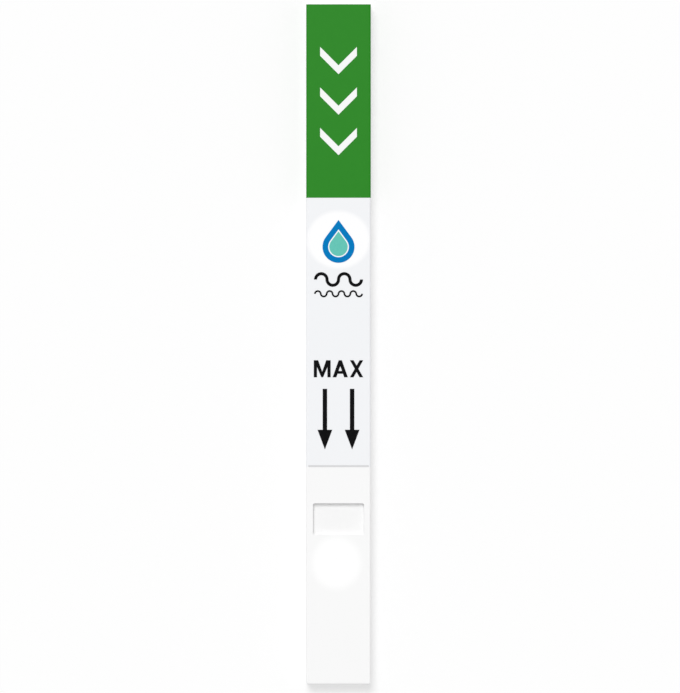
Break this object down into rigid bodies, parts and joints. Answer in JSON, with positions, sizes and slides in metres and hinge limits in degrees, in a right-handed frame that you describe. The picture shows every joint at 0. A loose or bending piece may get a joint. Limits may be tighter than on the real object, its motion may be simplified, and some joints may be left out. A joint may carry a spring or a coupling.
{
  "type": "lateral flow dip test",
  "caption": "Slim dip-in lateral flow test: flat two-shell casing with a coloured handle, fill line, sample window, and a test strip inside.",
  "frame": {"origin": "middle of the flat back that the stick lies on", "axes": "+Y along the stick from the dip end to the handle end, +Z out of the printed front, X across the width"},
  "size_m": [0.0094, 0.1, 0.003],
  "materials": {
    "casing_white": "satin moulded white polystyrene",
    "wick_felt": "white non-woven felt",
    "card_plastic": "smooth white sheet",
    "membrane_white": "fine porous white sheet",
    "reagent_clear": "dried clear reagent, hardly visible",
    "reagent_tint": "dried reagent with a faint blue tint",
    "conjugate_fibre": "glass fibre with a faint dusky pink stain",
    "blotting_fibre": "thick white blotting paper",
    "label_green": "satin printed green film",
    "label_pale": "satin pale bluish-white film",
    "ink_white": "flat white ink",
    "ink_blue": "flat blue ink",
    "ink_teal": "flat teal ink",
    "ink_black": "flat black ink",
    "ink_grey": "flat light grey ink"
  },
  "bodies": {
    "root": {"front_shell": "casing_white", "back_shell": "casing_white", "sample_wick": "wick_felt", "backing_card": "card_plastic", "membrane": "membrane_white", "test_line": "reagent_clear", "control_line": "reagent_tint", "conjugate_pad": "conjugate_fibre", "absorbent_pad": "blotting_fibre", "handle_label": "label_green", "body_label": "label_pale", "handle_chevrons": "ink_white", "drop_ring": "ink_blue", "drop_core": "ink_teal", "bold_wave": "ink_black", "thin_wave": "ink_black", "max_word": "ink_black", "left_arrow": "ink_black", "right_arrow": "ink_black", "fill_line": "ink_grey"}
  },
  "joints": []
}
